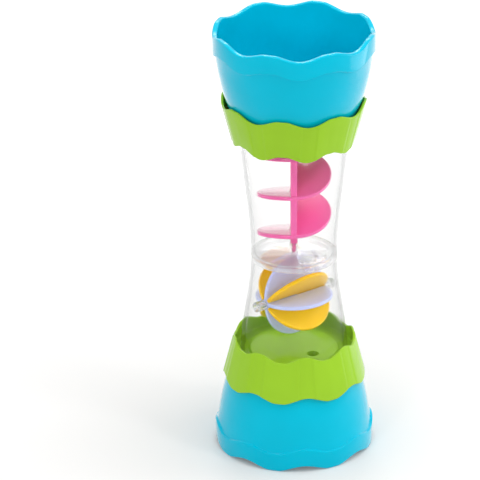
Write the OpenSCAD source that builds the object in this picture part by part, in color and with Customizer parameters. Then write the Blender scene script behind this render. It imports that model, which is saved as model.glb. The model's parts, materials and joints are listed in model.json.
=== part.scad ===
// Reversible sand and water whirl tube: a round cup with a wavy rim at each end, a wavy collar behind
// each cup, and a clear hourglass tube that holds an auger above and a paddle wheel below.
// Millimetres, +Z up, origin at the middle of the lower rim. The front is -Y.

/* [Overall] */
// Height from the lower rim to the upper rim
overall_h = 220; // [212:1:232]
// Number of waves round each rim and collar
waves = 8; // [6:1:10]
// Direction of a crest of the upper rim, from the front towards the right
upper_turn = 27; // [0:1:45]
// The same for the lower rim
lower_turn = -15; // [-45:1:45]
// The same for the upper collar
upper_collar_turn = 35; // [0:1:45]
// The same for the lower collar
lower_collar_turn = -12; // [-45:1:45]
// Play between pieces that are fixed together
fit = 0.05; // [0.02:0.01:0.1]
// Radial play of a pin that turns in its bearing
running_fit = 0.1; // [0.05:0.01:0.15]

/* [Cup] */
// Radius of the band round the rim
rim_r = 39.5; // [38:0.5:44]
// Depth of the cup from its rim to the outside of its base
cup_depth = 46.5; // [44:0.5:48]
// Height of a wave of the rim, from crest to trough
rim_wave = 2.7; // [1:0.1:4]
// Radius of the base
cup_base_r = 29.5; // [26:0.5:30]
// Wall of the cup
cup_wall = 1.8; // [1.4:0.1:2.4]
// Thickness of the base
cup_base_t = 2; // [1.5:0.1:3]
// Height of the raised band round the rim
band_h = 9.2; // [6:0.2:12]
// How far the band stands proud of the wall
band_proud = 0.8; // [0.4:0.1:1.2]
// How late the wall turns in towards the base
cup_bulge = 2.1; // [1.9:0.1:2.6]
// Depth at which the wave of the rim has died away
wave_fade = 18; // [16:0.5:24]

/* [Collar] */
// Gap between the wide edge and the cup
collar_gap = 0.6; // [0.4:0.1:2]
// Gap between the collar and the edge of the cup's base
base_gap = 1.8; // [1.2:0.1:2.6]
// Gap between the narrow edge and the widest part of the tube
skirt_gap = 2.4; // [1.5:0.1:4]
// Height of a wave of the edges, from crest to trough
collar_wave = 3; // [1:0.1:3.4]
// Height of the wide edge above the cup's base, at a crest
collar_rise = 11.5; // [9:0.1:12.4]
// Reach of the skirt past the floor, over the tube, at a trough
collar_drop = 9.6; // [7:0.1:11]
// Depth of the shallow flutes down the outside, one in each trough
collar_flute = 0.35; // [0:0.05:0.4]
// Wall of the collar
collar_wall = 1.3; // [1.1:0.1:1.4]
// Thickness of the collar's floor
floor_t = 2; // [1.6:0.1:3]
// Radius of the raised middle of the floor
plateau_r = 22; // [20:0.5:23.5]
// Height of the raised middle of the floor
plateau_h = 1.8; // [1:0.1:3]
// Diameter of the drain hole in the lower end
drain_d = 6; // [4:0.1:8]
// Diameter of the feed hole in the upper end
feed_d = 8; // [5:0.1:9]
// Distance of both holes from the middle
drain_r = 12.6; // [8:0.2:16]
// Direction of both holes, from the front towards the right
drain_turn = 48; // [0:1:90]

/* [Tube] */
// Outer radius at the waist
waist_r = 21.3; // [21.1:0.1:23]
// Outer radius at the ends
tube_end_r = 26.7; // [26:0.1:27.1]
// Wall of the tube
tube_wall = 1.8; // [1.4:0.1:2]
// Height of the lower chamber's tube
lower_tube_h = 51.2; // [50:0.2:56]

/* [Flow plate] */
// Thickness of the plate's edge between the two tubes
plate_t = 2.6; // [2:0.1:4]
// Height of the shoulders that centre the plate and the floors in the tubes
spigot_h = 0.8; // [0.5:0.1:1.5]
// Diameter of a flow port
port_d = 6.5; // [5:0.1:7]
// Distance of the ports from the middle
port_r = 13.2; // [11.5:0.1:13.6]
// Direction of the first port, from the front towards the right
port_turn = 30; // [10:1:60]
// Angle between the two ports
port_step = 50; // [46:1:90]
// Width of the raised rim round a port
port_rim_w = 1.1; // [0.8:0.1:1.6]
// Height of the raised rim round a port
port_rim_h = 0.8; // [0.5:0.1:1.5]
// Diameter of the post that carries the auger
post_d = 4.4; // [4:0.1:6]
// Height of that post above the plate's edge
post_h = 4.4; // [3.6:0.1:5]

/* [Auger] */
// Radius of the flights
auger_r = 18.3; // [16:0.1:18.8]
// Number of half turns, each a flat half disc
auger_halves = 5; // [5:2:7]
// Thickness of a flight
flight_t = 2; // [1.5:0.1:2.5]
// Thickness of the upright web between the flights
web_t = 3; // [2:0.1:3.2]
// Height of the lowest flight's middle above the plate's edge
auger_rise = 10.6; // [9.8:0.1:12]
// Distance of the topmost flight's middle below the bearing boss
auger_head = 11.4; // [10:0.1:14]
// Diameter of the stub shafts
stub_d = 3.6; // [3.4:0.1:4]
// Diameter of the pins that turn in the bearings
pin_d = 2; // [1.6:0.1:2.2]
// Diameter of the bearing boss under the upper floor
boss_d = 6; // [5:0.1:8]
// Length of that boss
boss_h = 4.6; // [4:0.1:6]

/* [Paddle wheel] */
// Height of the axle above the lower floor
wheel_rise = 30; // [29:0.1:30.3]
// Direction of the axle, from the right towards the back
axle_turn = 38; // [0:1:90]
// Vanes of each colour
vanes = 4; // [3:1:4]
// Direction of the first vane, from upright towards the right front
vane_turn = -5; // [-45:1:45]
// Radius of a vane's round outline
vane_r = 18; // [15:0.1:18.2]
// Distance of that outline's middle from the axle
vane_offset = 1.9; // [1:0.1:2]
// Thickness of a vane
vane_t = 2; // [1.5:0.1:2.5]
// Diameter of the hubs
hub_d = 5.2; // [4.4:0.1:6.4]
// Diameter of the axle
axle_d = 2; // [1.6:0.1:2.6]
// Diameter of the axle's bushes
bush_d = 5; // [4.2:0.1:6]
// Reach of the axle into a bush
axle_reach = 3.2; // [2.5:0.1:3.6]

/* [Hidden] */

// Colours as moulded
cup_blue = "#00B4DA";
collar_green = "#9CCB35";
clear_plastic = [0.86, 0.91, 0.94, 0.35];
auger_pink = "#F0609F";
vane_lilac = "#C5C0E0";
vane_yellow = "#F6C33A";
axle_steel = "#C9CCD0";

// Facets of round faces and of a wave, and steps along a curved wall
$fn = 96;
facets_per_wave = 10;
wall_steps = 7;
tube_steps = 14;

// Small sizes that several pieces share
overrun = 1;
edge_round = 0.5;
rim_round = 1;
base_round = 1.2;
band_chamfer = 0.4;
end_play = 0.3;
bush_proud = 0.4;
vane_gap = 0.2;

// Heights in the lower end: everything there is measured up from the rim
cup_floor_z = cup_depth - cup_base_t;
tube_seat_z = cup_depth + floor_t;
collar_wide_z = cup_depth - collar_rise;
collar_narrow_z = tube_seat_z + collar_drop - collar_wave;
collar_wide_r = cup_r(collar_wide_z) + collar_gap + collar_wall;
collar_base_r = cup_base_r + base_gap + collar_wall;
collar_narrow_r = tube_end_r + skirt_gap + collar_wall;
plateau_z = tube_seat_z + plateau_h;
boss_z = plateau_z + boss_h;

// Heights of the plate and of the upper tube
plate_low_z = tube_seat_z + lower_tube_h;
plate_top_z = plate_low_z + plate_t;
upper_tube_h = overall_h - tube_seat_z - plate_top_z;
spigot_waist_r = waist_r - tube_wall - fit;
spigot_end_r = tube_end_r - tube_wall - fit;

// Auger: the flights climb half a pitch from front to back on the right, and back to front on the left
auger_z = plate_top_z + auger_rise;
auger_top_z = overall_h - boss_z - auger_head;
auger_pitch = 2 * (auger_top_z - auger_z) / (auger_halves - 1);
flight_slope = auger_pitch / 2 / (2 * auger_r);
flight_tilt = atan(flight_slope);
web_half = auger_r - edge_round;
slab_reach = auger_r / cos(flight_tilt) + overrun;
post_top_z = plate_top_z + post_h;
lower_shoulder_z = post_top_z + end_play;
upper_shoulder_z = overall_h - boss_z - end_play;
post_bore = post_h + spigot_h - end_play;
lower_pin_l = post_bore;
upper_pin_l = boss_h - end_play;

// Paddle wheel and its bushes, along the axle from the middle of the wheel
wheel_z = tube_seat_z + wheel_rise;
hub_l = 2 * (vane_r + vane_gap);
axle_half = hub_l / 2 + end_play + axle_reach;
bush_in = hub_l / 2 + end_play;
bush_out = tube_r((plate_low_z - wheel_z + bush_d / 2) / lower_tube_h) + bush_proud;
wheel_reach = vane_r + vane_offset;

// Smooth step from 0 to 1, and the same held level outside that span
function ease(t) = t * t * (3 - 2 * t);
function held(t) = min(1, max(0, t));

// Outer radius of the tube, from the waist at 0 to the end at 1
function tube_r(t) = waist_r + (tube_end_r - waist_r) * ease(held(t));

// Outer radius of the cup's wall at a distance from the rim, and the wave left there
function cup_r(z) = rim_r - band_proud
    - (rim_r - band_proud - cup_base_r) * pow(z / cup_depth, cup_bulge);
function cup_wave(z) = rim_wave * held(1 - z / wave_fade);

// Outer radius of the collar at a distance from the rim: one cone round the cup, and one over the tube
function collar_r(z) = z < cup_depth
    ? collar_base_r + (collar_wide_r - collar_base_r) * (cup_depth - z) / (cup_depth - collar_wide_z)
    : collar_base_r + (collar_narrow_r - collar_base_r) * (z - cup_depth) / (collar_narrow_z - cup_depth);

// Share of the wave at an angle from a crest: flat at the crest for a facet each way, 1 in the trough
function wave_share(a) = let (flat = cos(360 / facets_per_wave))
    (flat - min(flat, cos(waves * a))) / (flat + 1);

// Share of the flute at an angle from a crest: 1 in the trough and 0 elsewhere
flute_edge_share = -0.6;
function flute_share(a) = cos(waves * a) < flute_edge_share ? 1 : 0;

// One ring of points: row is the height at a crest, the radius, the height of the wave and the flute
function wavy_ring(row) = let (count = waves * facets_per_wave, flute = len(row) > 3 ? row[3] : 0)
    [for (i = [0 : count - 1]) let (a = 360 * i / count, r = row[1] - flute * flute_share(a))
        [r * cos(a), r * sin(a), row[0] + row[2] * wave_share(a)]];

// Solid between rings that run from a cap facing up, round the wall, to a cap facing down
module loft(rows) {
    count = waves * facets_per_wave;
    last = len(rows) - 1;
    side = [for (j = [0 : last - 1]) for (i = [0 : count - 1])
        let (k = (i + 1) % count, a = j * count, b = a + count)
            each [[a + i, a + k, b + k], [a + i, b + k, b + i]]];
    top = [[for (i = [count - 1 : -1 : 0]) i]];
    bottom = [[for (i = [0 : count - 1]) last * count + i]];
    polyhedron(points = [for (row = rows) each wavy_ring(row)], faces = concat(top, side, bottom));
}

// Places a piece of the lower end at the upper end
module flipped() {
    translate([0, 0, overall_h]) rotate([0, 180, 0]) children();
}

// Turns to a direction given from the front towards the right
module facing(turn) {
    rotate([0, 0, turn - 90]) children();
}

// Straight hole up through the lower end, on the right of the front for side 1 and on the left for -1
module drain(side) {
    facing(side * drain_turn) translate([drain_r, 0, cup_floor_z - overrun])
        cylinder(d = side > 0 ? drain_d : feed_d, h = plateau_z - cup_floor_z + 2 * overrun);
}

// Round cup, mouth down: base, wall, banded wavy rim, and back up the inside
module cup(turn, side) {
    band_z = band_h + band_chamfer;
    base = [[cup_depth, cup_r(cup_depth - base_round) - base_round, 0]];
    outside = [for (i = [0 : wall_steps])
        let (z = cup_depth - base_round + (wave_fade - cup_depth + base_round) * i / wall_steps)
            [z, cup_r(z), 0]];
    band = [[band_z, cup_r(band_z), rim_wave], [band_h, rim_r, rim_wave], [rim_round, rim_r, rim_wave]];
    rim = [for (inset = [rim_round, band_proud + cup_wall - edge_round])
        [0, rim_r - inset, rim_wave]];
    inside = [for (i = [0 : wall_steps])
        let (z = edge_round + (cup_floor_z - base_round - edge_round) * i / wall_steps)
            [z, cup_r(z) - cup_wall, cup_wave(z)]];
    floor_edge = [[cup_floor_z, cup_r(cup_floor_z) - cup_wall - base_round, 0]];
    difference() {
        facing(turn) loft(concat(base, outside, band, rim, inside, floor_edge));
        drain(side);
    }
}

// Wavy collar: skirt over the tube, skirt round the cup, and a floor with a raised middle
module collar(turn, side) {
    middle = [[plateau_z, plateau_r, 0], [tube_seat_z + spigot_h, plateau_r, 0],
        [tube_seat_z + spigot_h, spigot_end_r, 0], [tube_seat_z, spigot_end_r, 0]];
    tube_side = [[tube_seat_z, collar_r(tube_seat_z) - collar_wall, 0],
        [collar_narrow_z - edge_round, collar_r(collar_narrow_z) - collar_wall, collar_wave]];
    narrow = [for (inset = [collar_wall - edge_round, edge_round])
        [collar_narrow_z, collar_narrow_r - inset, collar_wave]];
    outside = [[collar_narrow_z - edge_round, collar_narrow_r, collar_wave, collar_flute],
        [tube_seat_z, collar_r(tube_seat_z), collar_wave, collar_flute],
        [cup_depth - collar_wave, collar_r(cup_depth - collar_wave), collar_wave, collar_flute],
        [collar_wide_z + edge_round, collar_wide_r, collar_wave, collar_flute]];
    wide = [for (inset = [edge_round, collar_wall - edge_round])
        [collar_wide_z, collar_wide_r - inset, collar_wave]];
    cup_side = [[collar_wide_z + edge_round, collar_wide_r - collar_wall, collar_wave],
        [cup_depth, collar_r(cup_depth) - collar_wall, 0]];
    difference() {
        facing(turn) loft(concat(middle, tube_side, narrow, outside, wide, cup_side));
        drain(side);
    }
}

// Half of the hourglass tube, waist at 0 and wide end at the given height
module tube(height) {
    outer = [for (i = [0 : tube_steps]) let (t = i / tube_steps) [tube_r(t), height * t]];
    inner = [for (i = [tube_steps : -1 : 0]) let (t = i / tube_steps)
        [tube_r(t) - tube_wall, height * t]];
    rotate_extrude() polygon(concat(outer, inner));
}

// Puts a piece on the wheel's axle: its Z runs along the axle to the far end, its X points up
module on_axle() {
    translate([0, 0, wheel_z]) rotate([0, 0, axle_turn]) rotate([0, 90, 0]) rotate([0, 0, 180])
        children();
}

// Clear bush: a plug in the tube's wall with a blind bore for the axle
module axle_bush() {
    difference() {
        translate([0, 0, bush_in]) cylinder(d = bush_d, h = bush_out - bush_in);
        translate([0, 0, bush_in - overrun])
            cylinder(d = axle_d + 2 * running_fit, h = axle_reach + end_play + overrun);
    }
}

// Half-disc vane in the plane of X and Z: joins the hub on the far half, clears it on the near half
module vane() {
    rotate([90, 0, 0]) linear_extrude(height = vane_t, center = true) intersection() {
        translate([vane_offset, 0]) circle(r = vane_r);
        union() {
            translate([(axle_d + hub_d) / 4, 0]) square([wheel_reach, wheel_reach]);
            translate([hub_d / 2 + vane_gap, -wheel_reach]) square([wheel_reach, 2 * wheel_reach]);
        }
    }
}

// Rotor with its hub on the far half of the axle and its first vane at the given turn
module rotor(turn) {
    difference() {
        union() {
            translate([0, 0, fit]) cylinder(d = hub_d, h = hub_l / 2 - fit);
            for (i = [0 : vanes - 1]) rotate([0, 0, turn + 360 * i / vanes]) vane();
        }
        translate([0, 0, -overrun]) cylinder(d = axle_d + 2 * fit, h = hub_l / 2 + 2 * overrun);
    }
}

// Flat half disc of the auger on the left, its middle at a height: it laps into the web
module flight(z) {
    intersection() {
        translate([0, 0, auger_z - auger_pitch])
            cylinder(r = auger_r, h = auger_top_z - auger_z + 2 * auger_pitch);
        translate([0, 0, z]) rotate([-flight_tilt, 0, 0])
            translate([-slab_reach, -slab_reach, -flight_t / 2])
                cube([slab_reach + web_t / 4, 2 * slab_reach, flight_t]);
    }
}

module upper_cup() {
    color(cup_blue) flipped() cup(-upper_turn, -1);
}

module lower_cup() {
    color(cup_blue) cup(lower_turn, 1);
}

module upper_collar() {
    color(collar_green) flipped() difference() {
        union() {
            collar(-upper_collar_turn, -1);
            translate([0, 0, plateau_z - floor_t / 2])
                cylinder(d = boss_d, h = boss_h + floor_t / 2);
        }
        translate([0, 0, plateau_z]) cylinder(d = pin_d + 2 * running_fit, h = boss_h + overrun);
    }
}

module lower_collar() {
    color(collar_green) collar(lower_collar_turn, 1);
}

module upper_tube() {
    color(clear_plastic) translate([0, 0, plate_top_z]) tube(upper_tube_h);
}

module lower_tube() {
    color(clear_plastic) difference() {
        translate([0, 0, plate_low_z]) mirror([0, 0, 1]) tube(lower_tube_h);
        on_axle() cylinder(d = bush_d + 2 * fit, h = 2 * tube_end_r, center = true);
    }
}

module flow_plate() {
    color(clear_plastic) difference() {
        union() {
            translate([0, 0, plate_low_z]) cylinder(r = waist_r, h = plate_t);
            translate([0, 0, plate_low_z - spigot_h])
                cylinder(r = spigot_waist_r, h = plate_t + 2 * spigot_h);
            translate([0, 0, plate_low_z]) cylinder(d = post_d, h = plate_t + post_h);
            for (i = [0, 1]) facing(port_turn + i * port_step) translate([port_r, 0, plate_low_z])
                cylinder(d = port_d + 2 * port_rim_w, h = plate_t + spigot_h + port_rim_h);
        }
        for (i = [0, 1]) facing(port_turn + i * port_step)
            translate([port_r, 0, plate_low_z - spigot_h - overrun])
                cylinder(d = port_d, h = plate_t + 2 * spigot_h + port_rim_h + 2 * overrun);
        translate([0, 0, post_top_z - post_bore])
            cylinder(d = pin_d + 2 * running_fit, h = post_bore + overrun);
    }
}

module near_axle_bush() {
    color(clear_plastic) on_axle() rotate([180, 0, 0]) axle_bush();
}

module far_axle_bush() {
    color(clear_plastic) on_axle() axle_bush();
}

module auger() {
    lift = flight_slope * web_half;
    color(auger_pink) union() {
        for (i = [0 : auger_halves - 1]) rotate([0, 0, i * 180]) flight(auger_z + i * auger_pitch / 2);
        rotate([90, 0, 90]) linear_extrude(height = web_t, center = true)
            polygon([[-web_half, auger_z + lift], [web_half, auger_z - lift],
                [web_half, auger_top_z - lift], [-web_half, auger_top_z + lift]]);
        translate([0, 0, lower_shoulder_z])
            cylinder(d = stub_d, h = auger_z + overrun - lower_shoulder_z);
        translate([0, 0, lower_shoulder_z - lower_pin_l])
            cylinder(d = pin_d, h = lower_pin_l + overrun);
        translate([0, 0, auger_top_z - overrun])
            cylinder(d = stub_d, h = upper_shoulder_z - auger_top_z + overrun);
        translate([0, 0, upper_shoulder_z - overrun])
            cylinder(d = pin_d, h = upper_pin_l + overrun);
    }
}

module lilac_rotor() {
    color(vane_lilac) on_axle() mirror([0, 0, 1]) rotor(vane_turn);
}

module yellow_rotor() {
    color(vane_yellow) on_axle() rotor(vane_turn + 180 / vanes);
}

module wheel_axle() {
    color(axle_steel) on_axle() cylinder(d = axle_d, h = 2 * axle_half, center = true);
}

upper_cup();
lower_cup();
upper_collar();
lower_collar();
upper_tube();
lower_tube();
flow_plate();
near_axle_bush();
far_axle_bush();
auger();
lilac_rotor();
yellow_rotor();
wheel_axle();
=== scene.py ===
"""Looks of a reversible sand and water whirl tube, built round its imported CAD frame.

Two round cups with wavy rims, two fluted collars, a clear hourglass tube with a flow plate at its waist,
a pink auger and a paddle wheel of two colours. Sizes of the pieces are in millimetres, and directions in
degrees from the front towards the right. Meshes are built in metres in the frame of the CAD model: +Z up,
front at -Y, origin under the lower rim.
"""

from __future__ import annotations

import json
import logging
import math
from collections.abc import Callable, Mapping, Sequence
from dataclasses import dataclass, field
from enum import Enum
from typing import Any

import bmesh
import bpy
from mathutils import Matrix, Vector

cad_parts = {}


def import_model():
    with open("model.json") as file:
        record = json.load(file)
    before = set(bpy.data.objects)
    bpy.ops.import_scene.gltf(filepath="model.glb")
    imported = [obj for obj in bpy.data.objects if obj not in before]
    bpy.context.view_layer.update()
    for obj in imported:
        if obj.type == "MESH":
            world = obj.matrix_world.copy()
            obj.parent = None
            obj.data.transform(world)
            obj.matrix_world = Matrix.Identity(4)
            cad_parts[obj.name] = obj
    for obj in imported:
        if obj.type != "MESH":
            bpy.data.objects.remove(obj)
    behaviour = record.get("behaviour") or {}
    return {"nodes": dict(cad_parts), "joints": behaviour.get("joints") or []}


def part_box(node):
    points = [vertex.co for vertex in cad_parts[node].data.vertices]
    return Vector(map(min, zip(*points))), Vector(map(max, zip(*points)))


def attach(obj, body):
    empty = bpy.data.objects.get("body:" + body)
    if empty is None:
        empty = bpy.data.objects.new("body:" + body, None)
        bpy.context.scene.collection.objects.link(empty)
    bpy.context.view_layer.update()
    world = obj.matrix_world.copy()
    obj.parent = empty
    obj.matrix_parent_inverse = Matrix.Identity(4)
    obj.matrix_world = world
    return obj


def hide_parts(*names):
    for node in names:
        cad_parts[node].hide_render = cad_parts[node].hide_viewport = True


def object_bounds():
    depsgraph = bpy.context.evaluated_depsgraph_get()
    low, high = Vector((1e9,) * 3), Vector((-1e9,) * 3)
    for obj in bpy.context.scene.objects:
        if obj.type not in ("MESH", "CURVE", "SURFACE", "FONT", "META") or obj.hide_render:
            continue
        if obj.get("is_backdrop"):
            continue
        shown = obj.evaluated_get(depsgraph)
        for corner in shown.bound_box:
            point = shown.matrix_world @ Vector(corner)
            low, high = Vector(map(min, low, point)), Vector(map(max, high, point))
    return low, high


LOG = logging.getLogger("whirl_tube")
MM = 0.001
# Keeps a division by the radius safe on the axis.
TINY = 1e-6
# Edges that bend less than this are shaded smooth.
SOFT_EDGE = math.radians(35)
# Steps round small turned pieces.
ROUND_STEPS = 64
# The most of a straight that one fillet takes.
FILLET_SHARE = 0.49
NOISE_MIDDLE = 0.5
# Point attributes of turned meshes.
WAVE = "wave"
FLUTE = "flute"

Point = tuple[float, float]
Colour = tuple[float, float, float, float]
WHITE: Colour = (1.0, 1.0, 1.0, 1.0)
ZERO = (0.0, 0.0, 0.0)


class Body(Enum):
    """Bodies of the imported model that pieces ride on."""

    HOUSING = "housing"
    AUGER = "auger"
    WHEEL = "wheel"


class Slot(Enum):
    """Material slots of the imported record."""

    CUP = "cup_blue"
    COLLAR = "collar_green"
    CLEAR = "clear_tube"
    AUGER = "auger_pink"
    LILAC = "vane_lilac"
    YELLOW = "vane_yellow"


class End(Enum):
    """Ends of the toy, as the CAD nodes name them.

    The upper one mirrors the lower one, but has its own turns of the waves, a wider hole and a boss.
    """

    LOWER = "lower"
    UPPER = "upper"


CUP_TURNS = {End.UPPER: 27.0, End.LOWER: -15.0}
COLLAR_TURNS = {End.UPPER: 35.0, End.LOWER: -12.0}


def both_ways(operation: str) -> tuple[Callable[..., Signal], Callable[..., Signal]]:
    """Makes an operator on signals.

    Args:
        operation: what a Math node calls it.

    Returns:
        The operator with the signal on its left, and its reflected form.
    """

    def left(self: Signal, other: Value) -> Signal:
        """The signal with a signal or a number on its right."""
        return self.graph.maths(operation, self, other)

    def right(self: Signal, other: Value) -> Signal:
        """The signal with a number on its left."""
        return self.graph.maths(operation, other, self)

    return left, right


class Signal:
    """A node's output that takes part in Python expressions."""

    def __init__(self, graph: Graph, socket: bpy.types.NodeSocket) -> None:
        """Keeps the socket and the graph that it belongs to."""
        self.graph = graph
        self.socket = socket

    __add__, __radd__ = both_ways("ADD")
    __sub__, __rsub__ = both_ways("SUBTRACT")
    __mul__, __rmul__ = both_ways("MULTIPLY")
    __truediv__, __rtruediv__ = both_ways("DIVIDE")

    def __neg__(self) -> Signal:
        """The signal with its sign turned."""
        return self * -1.0

    def output(self, name: str) -> Signal:
        """Another output of the same node."""
        return Signal(self.graph, self.socket.node.outputs[name])


Value = Signal | float


class Graph:
    """Adds nodes to one shader or geometry tree."""

    def __init__(self, tree: bpy.types.NodeTree) -> None:
        """Keeps the tree that the nodes go into."""
        self.tree = tree

    def node(
        self,
        kind: str,
        settings: Mapping[str, Any] | None = None,
        inputs: Mapping[int | str, Any] | None = None,
        output: int | str = 0,
    ) -> Signal:
        """Adds one node.

        Args:
            kind: the node's type.
            settings: its properties, which are set first.
            inputs: values, signals or lists of signals for its input sockets, by index or name.
            output: the output that the returned signal stands for.

        Returns:
            The chosen output, or the first input of a node that has no outputs.
        """
        made = self.tree.nodes.new(kind)
        for name, value in (settings or {}).items():
            setattr(made, name, value)
        for key, value in (inputs or {}).items():
            for item in value if isinstance(value, list) else [value]:
                if isinstance(item, Signal):
                    self.tree.links.new(item.socket, made.inputs[key])
                else:
                    made.inputs[key].default_value = item
        return Signal(self, made.outputs[output] if made.outputs else made.inputs[0])

    def maths(self, operation: str, *values: Value) -> Signal:
        """One Math node on signals and numbers."""
        return self.node("ShaderNodeMath", {"operation": operation}, dict(enumerate(values)))

    def vector(self, x: Value, y: Value, z: Value) -> Signal:
        """Vector of three signals or numbers."""
        return self.node("ShaderNodeCombineXYZ", inputs={0: x, 1: y, 2: z})

    def between(self, first: Colour, second: Colour, share: Signal) -> Signal:
        """Colour between two others, by the sockets that a Mix node keeps for colours."""
        sockets = {6: first, 7: second, 0: share}
        return self.node("ShaderNodeMix", {"data_type": "RGBA"}, sockets, output=2)


def fresh_graph(owner: bpy.types.Material | bpy.types.World) -> Graph:
    """Turns on the nodes of a material or a world.

    Args:
        owner: what the nodes belong to.

    Returns:
        Its graph, with no nodes.
    """
    owner.use_nodes = True
    owner.node_tree.nodes.clear()
    return Graph(owner.node_tree)


def linked(name: str, data: bpy.types.ID) -> bpy.types.Object:
    """Adds an object to the scene.

    Args:
        name: the object's name.
        data: its mesh, lamp or camera.

    Returns:
        The object, at the origin.
    """
    made = bpy.data.objects.new(name, data)
    bpy.context.scene.collection.objects.link(made)
    return made


class GeometryTree(Graph):
    """A Geometry Nodes tree with named inputs, whose result becomes a plain mesh."""

    def __init__(self, name: str) -> None:
        """Makes an empty tree with a geometry input and output.

        Args:
            name: the tree's name.
        """
        super().__init__(bpy.data.node_groups.new(name, "GeometryNodeTree"))
        for way in ("INPUT", "OUTPUT"):
            self.tree.interface.new_socket("Geometry", in_out=way, socket_type="NodeSocketGeometry")
        self.entry = self.tree.nodes.new("NodeGroupInput")
        self.values: dict[str, float | int] = {}
        self.helpers: list[bpy.types.Object] = []

    @property
    def base(self) -> Signal:
        """The geometry that the tree starts from."""
        return Signal(self, self.entry.outputs["Geometry"])

    def size(self, name: str, value: float | int) -> Signal:
        """Adds a named input.

        Args:
            name: what the value is.
            value: its number for this piece, a whole one for a count.

        Returns:
            The input as a signal.
        """
        kind = "NodeSocketInt" if isinstance(value, int) else "NodeSocketFloat"
        socket = self.tree.interface.new_socket(name, in_out="INPUT", socket_type=kind)
        self.values[socket.identifier] = value
        return Signal(self, self.entry.outputs[name])

    def named(self, attribute: str) -> Signal:
        """A named point attribute of the mesh."""
        return self.node("GeometryNodeInputNamedAttribute", {"data_type": "FLOAT"}, {"Name": attribute})

    def brought(self, mesh: bpy.types.Mesh) -> Signal:
        """Brings another mesh into the tree.

        Args:
            mesh: a closed mesh, which is removed once the piece is made.

        Returns:
            Its geometry.
        """
        helper = linked(mesh.name, mesh)
        self.helpers.append(helper)
        return self.node("GeometryNodeObjectInfo", inputs={"Object": helper}, output="Geometry")

    def real(self, geometry: Signal) -> Signal:
        """Geometry with its instances made real."""
        return self.node("GeometryNodeRealizeInstances", inputs={0: geometry})

    def repeated(
        self,
        shape: Signal,
        count: Signal,
        at: Signal | tuple[float, ...] = ZERO,
        spin: Signal | tuple[float, ...] = ZERO,
    ) -> Signal:
        """Repeats a shape.

        Args:
            shape: the geometry to repeat.
            count: how many there are.
            at: the place of each, from its index.
            spin: the turn of each, from its index.

        Returns:
            All of them as real geometry.
        """
        spots = self.node("GeometryNodePoints", inputs={"Count": count, "Position": at})
        inputs = {"Points": spots, "Instance": shape, "Rotation": spin}
        return self.real(self.node("GeometryNodeInstanceOnPoints", inputs=inputs))

    def union(self, *meshes: Signal) -> Signal:
        """Closed meshes joined into one."""
        settings = {"operation": "UNION", "solver": "EXACT"}
        return self.node("GeometryNodeMeshBoolean", settings, {"Mesh 2": list(meshes)})

    def cut(self, mesh: Signal, cutter: Signal) -> Signal:
        """A closed mesh less what another one fills."""
        settings = {"operation": "DIFFERENCE", "solver": "EXACT"}
        return self.node("GeometryNodeMeshBoolean", settings, {"Mesh 1": mesh, "Mesh 2": cutter})

    def plain(self, geometry: Signal, name: str, mesh: bpy.types.Mesh, finish: Finish) -> bpy.types.Object:
        """Ends the tree, runs it on a mesh and keeps the result.

        Args:
            geometry: what the tree makes.
            name: the piece's name.
            mesh: the mesh that the tree starts from.
            finish: the finish that the piece gets.

        Returns:
            An object at the origin with a plain mesh and no modifier.
        """
        smooth = "GeometryNodeSetShadeSmooth"
        angle = self.node("GeometryNodeInputMeshEdgeAngle")
        soft = self.node("FunctionNodeCompare", {"operation": "LESS_THAN"}, {"A": angle, "B": SOFT_EDGE})
        faces = self.node(smooth, {"domain": "FACE"}, {"Geometry": self.real(geometry)})
        edges = self.node(smooth, {"domain": "EDGE"}, {"Geometry": faces, "Shade Smooth": soft})
        inputs = {"Geometry": edges, "Material": finish.material()}
        dressed = self.node("GeometryNodeSetMaterial", inputs=inputs)
        self.node("NodeGroupOutput", inputs={0: dressed})
        piece = linked(name, mesh)
        modifier = piece.modifiers.new("shape", "NODES")
        modifier.node_group = self.tree
        for identifier, value in self.values.items():
            modifier[identifier] = value
        graph = bpy.context.evaluated_depsgraph_get()
        made = bpy.data.meshes.new_from_object(piece.evaluated_get(graph), depsgraph=graph)
        piece.modifiers.clear()
        piece.data = made
        made.name = name
        for attribute in (WAVE, FLUTE):
            if attribute in made.attributes:
                made.attributes.remove(made.attributes[attribute])
        for helper in self.helpers:
            bpy.data.meshes.remove(helper.data)
        return piece


def linear(code: str) -> Colour:
    """Turns a written colour into the linear one that shaders take.

    Args:
        code: six hexadecimal digits after a hash.

    Returns:
        Red, green, blue and an alpha of 1.
    """
    parts = [int(code[i : i + 2], 16) / 255 for i in (1, 3, 5)]
    bent = [c / 12.92 if c <= 0.04045 else ((c + 0.055) / 1.055) ** 2.4 for c in parts]
    return (bent[0], bent[1], bent[2], 1.0)


def scaled(colour: Colour, share: float) -> Colour:
    """A colour made darker or paler by a share, with an alpha of 1."""
    return (colour[0] * share, colour[1] * share, colour[2] * share, 1.0)


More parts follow.
